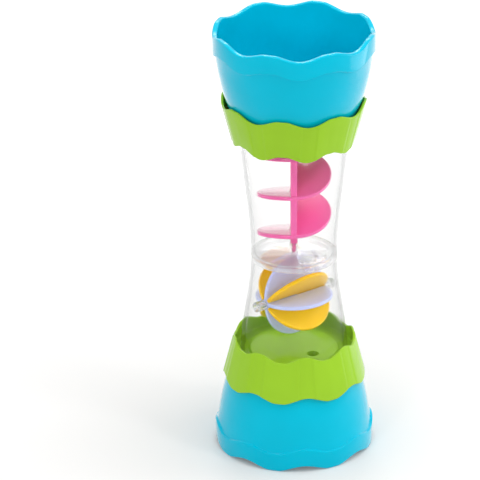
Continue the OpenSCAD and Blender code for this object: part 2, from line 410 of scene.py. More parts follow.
@dataclass(frozen=True)
class Finish:
    """Base of the finishes: a material is made once and shared by the pieces that have it."""

    name: str

    def material(self) -> bpy.types.Material:
        """Makes the material at its first use.

        Returns:
            The material of this finish.
        """
        known = bpy.data.materials.get(self.name)
        if known is not None:
            return known
        made = bpy.data.materials.new(self.name)
        graph = fresh_graph(made)
        sockets = {"Surface": self.shader(graph)}
        body = self.body(graph)
        if body is not None:
            sockets["Volume"] = body
        graph.node("ShaderNodeOutputMaterial", inputs=sockets)
        return made

    def shader(self, graph: Graph) -> Signal:
        """The finish's own nodes, which each kind of finish gives."""
        raise NotImplementedError

    def body(self, graph: Graph) -> Signal | None:
        """What fills the piece, where that is seen."""
        return None

    @staticmethod
    def cloud(graph: Graph, size: float, detail: float = 2.0) -> Signal:
        """Soft noise over the piece.

        Args:
            graph: the material's graph.
            size: the size of a patch in millimetres.
            detail: how much finer noise lies in it.

        Returns:
            A signal of about 0.3 to 0.7.
        """
        place = graph.node("ShaderNodeTexCoord", output="Object")
        inputs = {"Vector": place, "Scale": 1 / (size * MM), "Detail": detail}
        return graph.node("ShaderNodeTexNoise", inputs=inputs)

    @staticmethod
    def uneven(middle: float, swing: float, noise: Signal) -> Signal:
        """A value that a noise moves about its middle."""
        return middle + (noise - NOISE_MIDDLE) * swing

    @staticmethod
    def skin(graph: Graph, height: Signal, depth: float) -> Signal:
        """Normal of a skin that rises with a signal, up to a depth in millimetres."""
        inputs = {"Height": height, "Distance": depth * MM, "Strength": 1.0}
        return graph.node("ShaderNodeBump", inputs=inputs)


@dataclass(frozen=True)
class MouldedPlastic(Finish):
    """Glossy coloured plastic: a faint cloudiness in the colour, a rippled skin and light handling marks."""

    colour: str = "#FFFFFF"
    roughness: float = 0.2
    mark_roughness: float = 0.1
    mark_size: float = 22.0 / 3
    cloud_size: float = 22.0
    cloud_share: float = 0.07
    skin_size: float = 2.6
    skin_depth: float = 0.012
    shine: float = 0.08
    edge_gloss: float = 1.2
    gloss_roughness: float = 0.08

    def shader(self, graph: Graph) -> Signal:
        """Builds the plastic, which is glossiest where it turns away.

        Args:
            graph: the material's graph.

        Returns:
            The surface.
        """
        base = linear(self.colour)
        darker, paler = scaled(base, 1 - self.cloud_share), scaled(base, 1 + self.cloud_share)
        marks = self.cloud(graph, self.mark_size, detail=4.0)
        ripples = self.cloud(graph, self.skin_size, detail=1.0)
        away = graph.node("ShaderNodeLayerWeight", output="Facing")
        inputs = {
            "Base Color": graph.between(darker, paler, self.cloud(graph, self.cloud_size)),
            "Roughness": self.uneven(self.roughness, self.mark_roughness, marks),
            "Normal": self.skin(graph, ripples, self.skin_depth),
            "Specular IOR Level": self.shine,
            "Coat Weight": graph.maths("MINIMUM", away * away * self.edge_gloss, 1.0),
            "Coat Roughness": self.gloss_roughness,
        }
        return graph.node("ShaderNodeBsdfPrincipled", inputs=inputs)


@dataclass(frozen=True)
class ClearPlastic(Finish):
    """Clear plastic with a slight waviness from moulding. Light that its alpha lets by isn't bent."""

    body_tint: str = "#8E9394"
    body_density: float = 34.0
    ior: float = 1.02
    alpha: float = 0.22
    coat: float = 0.75
    roughness: float = 0.02
    wave_size: float = 16.0
    wave_depth: float = 0.02

    def shader(self, graph: Graph) -> Signal:
        """Builds the clear wall with its barely uneven skin.

        Args:
            graph: the material's graph.

        Returns:
            The surface.
        """
        marks = self.cloud(graph, self.wave_size, detail=3.0)
        ripples = self.cloud(graph, self.wave_size, detail=0.0)
        inputs = {
            "Base Color": WHITE,
            "Roughness": marks * self.roughness,
            "Normal": self.skin(graph, ripples, self.wave_depth),
            "IOR": self.ior,
            "Transmission Weight": 1.0,
            "Coat Weight": self.coat,
            "Alpha": self.alpha,
        }
        return graph.node("ShaderNodeBsdfPrincipled", inputs=inputs)

    def body(self, graph: Graph) -> Signal:
        """Faint grey that shows where the light runs far through the wall."""
        inputs = {"Color": linear(self.body_tint), "Density": self.body_density}
        return graph.node("ShaderNodeVolumeAbsorption", inputs=inputs)


@dataclass(frozen=True)
class DrawnSteel(Finish):
    """Bright steel of the pin, with a fine unevenness."""

    colour: str = "#C9CCD0"
    roughness: float = 0.28
    grain_roughness: float = 0.2
    grain_size: float = 0.25

    def shader(self, graph: Graph) -> Signal:
        """Builds the metal.

        Args:
            graph: the material's graph.

        Returns:
            The surface.
        """
        grain = self.cloud(graph, self.grain_size, detail=1.0)
        inputs = {
            "Base Color": linear(self.colour),
            "Metallic": 1.0,
            "Roughness": self.uneven(self.roughness, self.grain_roughness, grain),
        }
        return graph.node("ShaderNodeBsdfPrincipled", inputs=inputs)


@dataclass(frozen=True)
class StudioFloor(Finish):
    """Pale matt floor that keeps the shadow. Its glow is weakest near the toy, which paints shade round it,
    and grows to white away from it over a fade in metres.
    """

    colour: str = "#E1E0DF"
    # Weak glow near the toy, which paints shade on the floor round it.
    near_glow_painted_shade: float = 0.1
    far_glow: float = 0.42
    fade_from: float = 0.05
    fade_to: float = 0.4

    def shader(self, graph: Graph) -> Signal:
        """Builds the floor, which glows only where it is seen directly, mirrored or through clear plastic,
        and glows least near the toy as painted shade.

        Args:
            graph: the material's graph.

        Returns:
            The surface.
        """
        place = graph.node("ShaderNodeTexCoord", output="Object")
        # Glow grows with distance from the toy: least near it, as painted shade, and white far away.
        inputs = {
            "Value": graph.node("ShaderNodeVectorMath", {"operation": "LENGTH"}, {0: place}, output="Value"),
            "From Min": self.fade_from,
            "From Max": self.fade_to,
            "To Min": self.near_glow_painted_shade,
            "To Max": self.far_glow,
        }
        glow = seen_rays(graph) * graph.node("ShaderNodeMapRange", inputs=inputs)
        matt = graph.node("ShaderNodeBsdfDiffuse", inputs={"Color": linear(self.colour)})
        lift = graph.node("ShaderNodeEmission", inputs={"Color": glow, "Strength": 1.0})
        return graph.node("ShaderNodeAddShader", inputs={0: matt, 1: lift})


def seen_rays(graph: Graph) -> Signal:
    """Tells what is seen from what only lights the toy.

    Args:
        graph: the graph of a material or the world.

    Returns:
        1 for what the camera sees directly, in a reflection or through clear plastic, and else 0.
    """
    camera = graph.node("ShaderNodeLightPath", output="Is Camera Ray")
    both = graph.maths("MAXIMUM", camera.output("Is Glossy Ray"), camera.output("Is Transmission Ray"))
    return graph.maths("MAXIMUM", camera, both)


SATIN: dict[str, float] = {
    "roughness": 0.3,
    "shine": 0.3,
    "mark_roughness": 0.03,
    "skin_depth": 0.004,
    "edge_gloss": 0.5,
}
CUP_BLUE = MouldedPlastic("cup_blue_plastic", "#00BDDA", roughness=0.14)
COLLAR_GREEN = MouldedPlastic("collar_green_plastic", "#9BCB30", roughness=0.18, edge_gloss=0.45)
AUGER_PINK = MouldedPlastic("auger_pink_plastic", "#F86AB0", roughness=0.2, shine=0.3)
VANE_LILAC = MouldedPlastic("vane_lilac_plastic", "#C9D3FF", **SATIN)
VANE_YELLOW = MouldedPlastic("vane_yellow_plastic", "#FFCB00", **SATIN)
CLEAR = ClearPlastic("clear_plastic")
CLEAR_PLATE = ClearPlastic("clear_plate_plastic", body_density=14.0, ior=1.4, alpha=0.55)
CLEAR_BUSH = ClearPlastic("clear_bush_plastic", body_density=90.0, ior=1.3, alpha=0.6)
STEEL = DrawnSteel("axle_steel")


@dataclass(frozen=True)
class Corner:
    """A corner of a turned profile: radius, height, travel of the wave, depth of the flutes and fillet."""

    r: float
    z: float
    wave: float = 0.0
    flute: float = 0.0
    bend: float = 0.0


def filleted(corners: Sequence[Corner], steps: int = 5) -> list[Corner]:
    """Rounds the corners of an open profile that have a fillet.

    Args:
        corners: the profile.
        steps: facets of a fillet.

    Returns:
        The profile with an arc in place of each such corner, which takes less than half of a straight.
    """
    made: list[Corner] = []
    for i, here in enumerate(corners):
        if not here.bend or i in (0, len(corners) - 1):
            made.append(here)
            continue
        spot = Vector((here.r, here.z))
        ends = [corners[i - 1], corners[i + 1]]
        ways = [Vector((c.r, c.z)) - spot for c in ends]
        half = ways[0].angle(ways[1]) / 2
        reach = min(here.bend / math.tan(half), *(FILLET_SHARE * way.length for way in ways))
        radius = reach * math.tan(half)
        units = [way.normalized() for way in ways]
        middle = spot + (units[0] + units[1]).normalized() * (radius / math.sin(half))
        rays = [spot + unit * reach - middle for unit in units]
        shares = [reach / way.length for way in ways]
        waves = [here.wave + (c.wave - here.wave) * s for c, s in zip(ends, shares)]
        flutes = [here.flute + (c.flute - here.flute) * s for c, s in zip(ends, shares)]
        sweep = math.pi - 2 * half
        for k in range(steps + 1):
            t = k / steps
            first = rays[0] * (math.sin((1 - t) * sweep) / math.sin(sweep))
            second = rays[1] * (math.sin(t * sweep) / math.sin(sweep))
            at = middle + first + second
            wave = waves[0] + (waves[1] - waves[0]) * t
            flute = flutes[0] + (flutes[1] - flutes[0]) * t
            made.append(Corner(at.x, at.y, wave, flute))
    return made


def closed_mesh(name: str, points: Sequence[Vector], faces: Sequence[Sequence[int]]) -> bpy.types.Mesh:
    """Makes a closed mesh whose faces point outwards.

    Args:
        name: the mesh's name.
        points: its corners, in metres.
        faces: corner numbers of each face.

    Returns:
        The mesh, with smooth faces.
    """
    mesh = bpy.data.meshes.new(name)
    mesh.from_pydata([tuple(p) for p in points], [], [tuple(f) for f in faces])
    form = bmesh.new()
    form.from_mesh(mesh)
    bmesh.ops.recalc_face_normals(form, faces=form.faces)
    form.to_mesh(mesh)
    form.free()
    mesh.shade_smooth()
    return mesh


def lathe(
    name: str, profile: Sequence[Corner], segments: int = ROUND_STEPS, place: Matrix | None = None
) -> bpy.types.Mesh:
    """Turns a profile round the Z axis into a closed mesh.

    Args:
        name: the mesh's name.
        profile: corners in order. Ends on the axis become poles, and otherwise the profile is a closed loop.
        segments: steps round the axis.
        place: where the finished piece goes, in metres.

    Returns:
        The mesh, with the travel of the wave and the depth of the flutes as point attributes in metres.
    """
    points: list[Vector] = []
    rings: list[list[int]] = []
    waves: list[float] = []
    flutes: list[float] = []
    spot = place or Matrix.Identity(4)
    for corner in profile:
        count = segments if corner.r > 0 else 1
        rings.append(list(range(len(points), len(points) + count)))
        for i in range(count):
            angle = 2 * math.pi * i / segments
            at = Vector((corner.r * math.cos(angle), corner.r * math.sin(angle), corner.z))
            points.append(spot @ (at * MM))
        waves += [corner.wave * MM] * count
        flutes += [corner.flute * MM] * count
    pairs = list(zip(rings, rings[1:]))
    if profile[0].r > 0:
        pairs.append((rings[-1], rings[0]))
    faces: list[list[int]] = []
    for low, high in pairs:
        for i in range(segments):
            k = (i + 1) % segments
            face = [low[i % len(low)], low[k % len(low)], high[k % len(high)], high[i % len(high)]]
            faces.append(list(dict.fromkeys(face)))
    mesh = closed_mesh(name, points, faces)
    for title, values in ((WAVE, waves), (FLUTE, flutes)):
        mesh.attributes.new(title, "FLOAT", "POINT").data.foreach_set("value", values)
    return mesh


def slab(
    name: str,
    outline: Callable[[float], list[Point]],
    thickness: float,
    edge: float,
    place: Matrix,
    steps: int = 4,
) -> bpy.types.Mesh:
    """Makes a flat plate with rounded edges.

    Args:
        name: the mesh's name.
        outline: gives the plate's outline in X and Y for an inset from the edge, always with as many points.
        thickness: the plate's thickness along Z.
        edge: radius of the rounding.
        place: where the finished plate goes, in metres.
        steps: facets of the rounding.

    Returns:
        The closed mesh.
    """
    arc = [math.pi / 2 * k / steps for k in range(steps + 1)]
    upper = [(edge * (1 - math.cos(a)), thickness / 2 - edge * (1 - math.sin(a))) for a in arc]
    levels = [*reversed(upper), *((inset, -z) for inset, z in upper)]
    rings = [[Vector((x, y, z)) for x, y in outline(inset)] for inset, z in levels]
    count = len(rings[0])
    points = [place @ (p * MM) for ring in rings for p in ring]
    faces: list[list[int]] = [list(range(count)), list(range(len(points) - count, len(points)))]
    for j in range(len(rings) - 1):
        for i in range(count):
            k = (i + 1) % count
            faces.append([j * count + i, j * count + k, (j + 1) * count + k, (j + 1) * count + i])
    return closed_mesh(name, points, faces)


def fixed(piece: bpy.types.Object, body: Body, slot: Slot, *nodes: str) -> None:
    """Rides a piece on its body in place of CAD nodes and reports it.

    Args:
        piece: the finished object.
        body: the body that carries it.
        slot: the record's material slot of its finish; not used.
        nodes: the CAD nodes that it stands for.
    """
    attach(piece, body.value)
    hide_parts(*nodes)
    LOG.info("%s: %d faces, rides on %s", piece.name, len(piece.data.polygons), body.value)


@dataclass
class WavyEnd:
    """What both wavy pieces of an end share: the toy's height, the rule of the waves and the drain hole.

    The turn is the direction of a crest, where an edge lies nearest its end of the toy.
    """

    end: End
    height: float
    turn: float
    waves: int = 8
    flat_share: float = 0.81
    blend_share: float = 0.12
    steps_per_wave: int = 48
    drain_d: float = 6.0
    feed_d: float = 8.0
    drain_r: float = 12.6
    drain_turn: float = 48.0
    plug_l: float = 16.0
    plug_steps: int = 48
    cup_depth: float = 46.5
    floor_t: float = 2.0
    flute_edge_share: float = 0.62
    flute_blend_share: float = 0.06

    def placed(self, profile: Sequence[Corner]) -> list[Corner]:
        """Puts a profile that is measured from the rim at its end of the toy.

        Args:
            profile: corners whose height is the distance from the rim.

        Returns:
            Corners at their heights above the floor.
        """
        if self.end is End.LOWER:
            return list(profile)
        return [Corner(c.r, self.height - c.z, -c.wave, c.flute) for c in profile]

    def shaped(self, name: str, profile: Sequence[Corner], finish: Finish) -> bpy.types.Object:
        """Turns a profile and lets the waves, the flutes and the drain hole shape it.

        Args:
            name: the piece's name.
            profile: corners whose height is the distance from the rim, with both ends on the axis.
            finish: the finish of the piece.

        Returns:
            The finished object.
        """
        mesh = lathe(name, self.placed(filleted(profile)), self.waves * self.steps_per_wave)
        tree = GeometryTree(name + "_waves")
        waves = tree.size("Waves", float(self.waves))
        turn = tree.size("Turn", math.radians(self.turn))
        flat = tree.size("Flat share of a crest", self.flat_share)
        blend = tree.size("Blend of a crest", self.blend_share)
        edge = tree.size("Edge of a flute", -self.flute_edge_share)
        reach = tree.size("Blend of a flute", self.flute_blend_share)
        place = tree.node("ShaderNodeSeparateXYZ", inputs={0: tree.node("GeometryNodeInputPosition")})
        x, y = place, place.output("Y")
        radius = tree.maths("SQRT", x * x + y * y) + TINY
        ripple = tree.maths("COSINE", (tree.maths("ARCTAN2", x, -y) - turn) * waves)
        share = (flat - tree.maths("SMOOTH_MIN", ripple, flat, blend)) / (flat + 1.0)
        limits = {"Value": ripple, "From Min": edge + reach, "From Max": edge - reach}
        sunk = tree.node("ShaderNodeMapRange", {"interpolation_type": "SMOOTHSTEP"}, limits)
        inward = -(sunk * tree.named(FLUTE)) / radius
        offset = tree.vector(x * inward, y * inward, share * tree.named(WAVE))
        wavy = tree.node("GeometryNodeSetPosition", inputs={"Geometry": tree.base, "Offset": offset})
        return tree.plain(tree.cut(wavy, self.drain(tree)), name, mesh, finish)

    def drain(self, tree: GeometryTree) -> Signal:
        """Adds the plug that cuts the drain hole.

        Args:
            tree: the tree that the plug is added to.

        Returns:
            A cylinder through the floor of this end.
        """
        way = math.radians(self.drain_turn)
        lower = self.end is End.LOWER
        floor_z = self.cup_depth if lower else self.height - self.cup_depth
        x, y = math.sin(way) * self.drain_r, -math.cos(way) * self.drain_r
        at = (x * MM, y * MM, floor_z * MM)
        bore = tree.size("Hole radius", (self.drain_d if lower else self.feed_d) / 2 * MM)
        inputs = {"Vertices": self.plug_steps, "Radius": bore, "Depth": self.plug_l * MM}
        plug = tree.node("GeometryNodeMeshCylinder", inputs=inputs)
        return tree.node("GeometryNodeTransform", inputs={"Geometry": plug, "Translation": at})


@dataclass
class WavyCup(WavyEnd):
    """Round blue cup with a banded, wavy rim."""

    rim_r: float = 39.5
    rim_wave: float = 2.7
    base_r: float = 29.5
    wall: float = 1.8
    base_t: float = 2.0
    band_h: float = 9.2
    band_proud: float = 0.8
    bulge: float = 2.1
    wave_fade: float = 18.0
    wall_steps: int = 20
    rim_round: float = 0.85
    base_round: float = 1.2
    floor_round: float = 2.4
    step_round: float = 0.3

    def wall_r(self, z: float) -> float:
        """Outer radius of the wall at a distance from the rim."""
        start = self.rim_r - self.band_proud
        return start - (start - self.base_r) * (z / self.cup_depth) ** self.bulge

    def fading(self, z: float) -> float:
        """Travel of the wave at a distance from the rim."""
        return self.rim_wave * max(0.0, 1 - z / self.wave_fade)

    def build(self) -> bpy.types.Object:
        """Makes the cup, from its base round the rim to its floor.

        Returns:
            The finished object.
        """
        rim_wall = self.rim_r - self.wall_r(0) + self.wall
        step_z = self.band_h + self.band_proud / 2
        low, high = self.wave_fade, self.cup_depth - self.base_round
        outside = [high + (low - high) * i / self.wall_steps for i in range(self.wall_steps + 1)]
        floor_z = self.cup_depth - self.base_t
        inside = [(floor_z - self.base_round) * i / self.wall_steps for i in range(1, self.wall_steps + 1)]
        profile = [
            Corner(0.0, self.cup_depth),
            Corner(self.wall_r(self.cup_depth), self.cup_depth, bend=self.base_round),
            *(Corner(self.wall_r(z), z) for z in outside),
            Corner(self.wall_r(step_z), step_z, self.rim_wave, bend=self.step_round),
            Corner(self.rim_r, self.band_h, self.rim_wave, bend=self.step_round),
            Corner(self.rim_r, 0.0, self.rim_wave, bend=self.rim_round),
            Corner(self.rim_r - rim_wall, 0.0, self.rim_wave, bend=self.rim_round),
            *(Corner(self.wall_r(z) - self.wall, z, self.fading(z)) for z in inside),
            Corner(self.wall_r(floor_z) - self.wall, floor_z, bend=self.floor_round),
            Corner(0.0, floor_z),
        ]
        return self.shaped(self.end.value + "_cup_shell", profile, CUP_BLUE)


@dataclass
class WavyCollar(WavyEnd):
    """Green collar with wavy edges, shallow flutes and the floor of the chamber.

    The upper one also has the boss that holds the auger's top pin.
    """

    wide_r: float = 35.53
    narrow_r: float = 30.4
    wave: float = 3.0
    rise: float = 11.5
    drop: float = 9.6
    wall: float = 1.3
    plateau_r: float = 22.0
    plateau_h: float = 1.8
    spigot_r: float = 24.85
    spigot_h: float = 0.8
    flute: float = 0.35
    edge_round: float = 0.45
    inner_round: float = 0.8
    boss_d: float = 6.0
    boss_h: float = 4.6
    bore_d: float = 2.2

    def build(self) -> bpy.types.Object:
        """Makes the collar, from the raised middle of its floor round both edges to its underside.

        Returns:
            The finished object.
        """
        seat = self.cup_depth + self.floor_t
        wide_z, narrow_z = self.cup_depth - self.rise, seat + self.drop - self.wave
        plateau_z = seat + self.plateau_h

        def outer(z: float) -> float:
            """Outer radius at a distance from the rim."""
            return self.narrow_r + (self.wide_r - self.narrow_r) * (narrow_z - z) / (narrow_z - wide_z)

        edges = {"wave": self.wave, "bend": self.edge_round}
        proud = {"flute": self.flute, **edges}
        middle = [Corner(0.0, plateau_z)]
        if self.end is End.UPPER:
            middle += [
                Corner(self.bore_d / 2, plateau_z),
                Corner(self.bore_d / 2, plateau_z + self.boss_h),
                Corner(self.boss_d / 2, plateau_z + self.boss_h, bend=self.edge_round),
                Corner(self.boss_d / 2, plateau_z, bend=self.edge_round),
            ]
        profile = [
            *middle,
            Corner(self.plateau_r, plateau_z, bend=self.inner_round),
            Corner(self.plateau_r + self.edge_round, seat + self.spigot_h, bend=self.edge_round),
            Corner(self.spigot_r, seat + self.spigot_h, bend=self.edge_round / 2),
            Corner(self.spigot_r, seat, bend=self.edge_round / 2),
            Corner(outer(seat) - self.wall, seat, bend=self.inner_round),
            Corner(outer(narrow_z) - self.wall, narrow_z, **edges),
            Corner(self.narrow_r, narrow_z, **proud),
            Corner(self.wide_r, wide_z, **proud),
            Corner(self.wide_r - self.wall, wide_z, **edges),
            Corner(outer(self.cup_depth) - self.wall, self.cup_depth, bend=self.inner_round),
            Corner(0.0, self.cup_depth),
        ]
        return self.shaped(self.end.value + "_collar_shell", profile, COLLAR_GREEN)


@dataclass
class HourglassTube:
    """Clear tube of one chamber, from the waist to a wide end, with a little air at both its ends."""

    end: End
    waist_z: float
    seat_z: float
    waist_r: float = 21.3
    end_r: float = 26.7
    wall: float = 1.8
    steps: int = 40
    segments: int = 256
    edge_round: float = 0.35
    air: float = 0.04

    def build(self, bores: bpy.types.Mesh | None = None) -> bpy.types.Object:
        """Makes the tube's wall as one turned loop.

        Args:
            bores: what is bored out of the wall, as a closed mesh.

        Returns:
            The finished object.
        """
        way = 1 if self.seat_z > self.waist_z else -1
        low, high = self.waist_z + way * self.air, self.seat_z - way * self.air
        shares = [i / self.steps for i in range(self.steps + 1)]
        radii = [self.waist_r + (self.end_r - self.waist_r) * t * t * (3 - 2 * t) for t in shares]
        heights = [low + (high - low) * t for t in shares]
        outer = [Corner(r, z) for r, z in zip(radii, heights)]
        inner = [Corner(r - self.wall, z) for r, z in zip(reversed(radii), reversed(heights))]
        loop = [
            *outer[1:-1],
            self.soft(outer[-1]),
            self.soft(inner[0]),
            *inner[1:-1],
            self.soft(inner[-1]),
            self.soft(outer[0]),
            outer[1],
        ]
        name = self.end.value + "_tube_wall"
        tree = GeometryTree(name + "_wall")
        wall = lathe(name, filleted(loop)[:-1], self.segments)
        shape = tree.base if bores is None else tree.cut(tree.base, tree.brought(bores))
        return tree.plain(shape, name, wall, CLEAR)

    def soft(self, corner: Corner) -> Corner:
        """The same corner with a rounded edge."""
        return Corner(corner.r, corner.z, bend=self.edge_round)


@dataclass
class FlowPlate:
    """Clear plate at the waist: two ports with raised rims, and the post that carries the auger."""

    low_z: float
    top_z: float
    rim_r: float = 21.3
    spigot_r: float = 19.45
    spigot_h: float = 0.8
    port_d: float = 6.5
    port_r: float = 13.2
    port_turn: float = 30.0
    port_step: float = 50.0
    port_count: int = 2
    port_rim_w: float = 1.1
    port_rim_h: float = 0.8
    post_d: float = 4.4
    post_h: float = 4.4
    bore_d: float = 2.2
    bore_l: float = 4.9
    edge_round: float = 0.3
    segments: int = 192

    def profile(self) -> list[Corner]:
        """Draws the plate with its post.

        Returns:
            Corners from the bottom of the post's bore to the underside.
        """
        top, low = self.top_z + self.spigot_h, self.low_z - self.spigot_h
        post_z = self.top_z + self.post_h
        soft = {"bend": self.edge_round}
        return [
            Corner(0.0, post_z - self.bore_l),
            Corner(self.bore_d / 2, post_z - self.bore_l),
            Corner(self.bore_d / 2, post_z),
            Corner(self.post_d / 2, post_z, **soft),
            Corner(self.post_d / 2, top, **soft),
            Corner(self.spigot_r, top, **soft),
            Corner(self.spigot_r, self.top_z),
            Corner(self.rim_r, self.top_z, **soft),
            Corner(self.rim_r, self.low_z, **soft),
            Corner(self.spigot_r, self.low_z),
            Corner(self.spigot_r, low, **soft),
            Corner(0.0, low),
        ]

    def build(self) -> bpy.types.Object:
        """Makes the plate, with the rims of the ports raised and the ports cut by the tree.

        Returns:
            The finished object.
        """
        name = "flow_plate_body"
        tree = GeometryTree(name + "_ports")
        count = tree.size("Ports", self.port_count)
        bore = tree.size("Port radius", self.port_d / 2 * MM)
        rim = tree.size("Rim width", self.port_rim_w * MM)
        reach = tree.size("Port distance", self.port_r * MM)
        first = tree.size("First port", math.radians(self.port_turn))
        step = tree.size("Port step", math.radians(self.port_step))
        way = first + tree.node("GeometryNodeInputIndex") * step
        middle = (self.low_z + self.top_z + self.port_rim_h) / 2 * MM
        spot = tree.vector(tree.maths("SINE", way) * reach, tree.maths("COSINE", way) * -reach, middle)
        tall = (self.top_z - self.low_z + 2 * self.spigot_h + self.port_rim_h) * MM

        def rods(radius: Signal, depth: float) -> Signal:
            """A rod at each port."""
            inputs = {"Vertices": ROUND_STEPS, "Radius": radius, "Depth": depth}
            return tree.repeated(tree.node("GeometryNodeMeshCylinder", inputs=inputs), count, at=spot)

        rimmed = tree.union(tree.base, rods(bore + rim, tall - self.edge_round * MM))
        holed = tree.cut(rimmed, rods(bore, 2 * tall))
        mesh = lathe(name, filleted(self.profile(), steps=3), self.segments)
        return tree.plain(holed, name, mesh, CLEAR_PLATE)


@dataclass
class Auger:
    """Pink auger: flat half discs that climb from side to side of an upright web, on two pins.

    The first flight and the shoulder are measured up from the flow plate, and the top shoulder down from
    the top of the toy.
    """

    plate_z: float
    height: float
    first_flight: float = 10.6
    shoulder: float = 4.7
    top_shoulder: float = 55.2
    radius: float = 18.3
    pitch: float = 20.4
    halves: int = 5
    flight_t: float = 2.0
    web_t: float = 3.0
    stub_d: float = 3.6
    pin_d: float = 2.0
    low_pin: float = 4.9
    top_pin: float = 4.3
    edge: float = 0.45
    arc_steps: int = 72

    @property
    def tilt(self) -> float:
        """Slope of a flight as an angle: it climbs half a pitch across the auger."""
        return math.atan(self.pitch / 2 / (2 * self.radius))

    @property
    def low_z(self) -> float:
        """Height of the lowest flight's middle."""
        return self.plate_z + self.first_flight

    @property
    def top_z(self) -> float:
        """Height of the topmost flight's middle."""
        return self.low_z + (self.halves - 1) * self.pitch / 2

    def flight_outline(self, inset: float) -> list[Point]:
        """Draws a half disc on the left, as an ellipse in its own sloping plane.

        Args:
            inset: distance from the edge.

        Returns:
            The outline, whose straight side lies inside the web.
        """
        r = self.radius - inset
        start = math.acos(self.web_t / 4 / r)
        angles = [start + (2 * math.pi - 2 * start) * i / self.arc_steps for i in range(self.arc_steps + 1)]
        return [(r * math.cos(a), r * math.sin(a) / math.cos(self.tilt)) for a in angles]

    def web_outline(self, inset: float) -> list[Point]:
        """Draws the upright web between the lowest and the topmost flight, seen from the right.

        Args:
            inset: distance from the edge.

        Returns:
            The outline.
        """
        half = self.radius - self.edge - inset
        lift = math.tan(self.tilt) * half
        return [
            (-half, self.low_z + lift),
            (half, self.low_z - lift),
            (half, self.top_z - lift),
            (-half, self.top_z + lift),
        ]

    def shaft_profile(self) -> list[Corner]:
        """Draws the turned shaft through the auger.

        Returns:
            Corners of a stub with a pin at each end.
        """
        pin, stub = self.pin_d / 2, self.stub_d / 2
        low, top = self.plate_z + self.shoulder, self.height - self.top_shoulder
        soft = {"bend": self.edge / 2}
        return [
            Corner(0.0, low - self.low_pin),
            Corner(pin, low - self.low_pin, **soft),
            Corner(pin, low),
            Corner(stub, low, **soft),
            Corner(stub, top, **soft),
            Corner(pin, top),
            Corner(pin, top + self.top_pin, **soft),
            Corner(0.0, top + self.top_pin),
        ]

    def build(self) -> bpy.types.Object:
        """Makes one flight, which the tree repeats up the web and joins with the web and the shaft.

        Returns:
            The finished object.
        """
        name = "auger_screw"
        lean = Matrix.Translation((0, 0, self.low_z * MM)) @ Matrix.Rotation(-self.tilt, 4, "X")
        flight = slab("flight", self.flight_outline, self.flight_t, self.edge, lean)
        # The web's outline runs along Y and up Z.
        upright = Matrix(((0, 0, 1, 0), (1, 0, 0, 0), (0, 1, 0, 0), (0, 0, 0, 1)))
        web = slab("web", self.web_outline, self.web_t, self.edge, upright)
        shaft = lathe("shaft", filleted(self.shaft_profile(), steps=3))
        tree = GeometryTree(name + "_flights")
        count = tree.size("Half turns", self.halves)
        rise = tree.size("Rise of a half turn", self.pitch / 2 * MM)
        turn = tree.size("Half turn", math.pi)
        index = tree.node("GeometryNodeInputIndex")
        spot = tree.vector(0.0, 0.0, index * rise)
        spin = tree.vector(0.0, 0.0, index * turn)
        flights = tree.repeated(tree.base, count, spot, spin)
        whole = tree.union(flights, tree.brought(web), tree.brought(shaft))
        return tree.plain(whole, name, flight, AUGER_PINK)


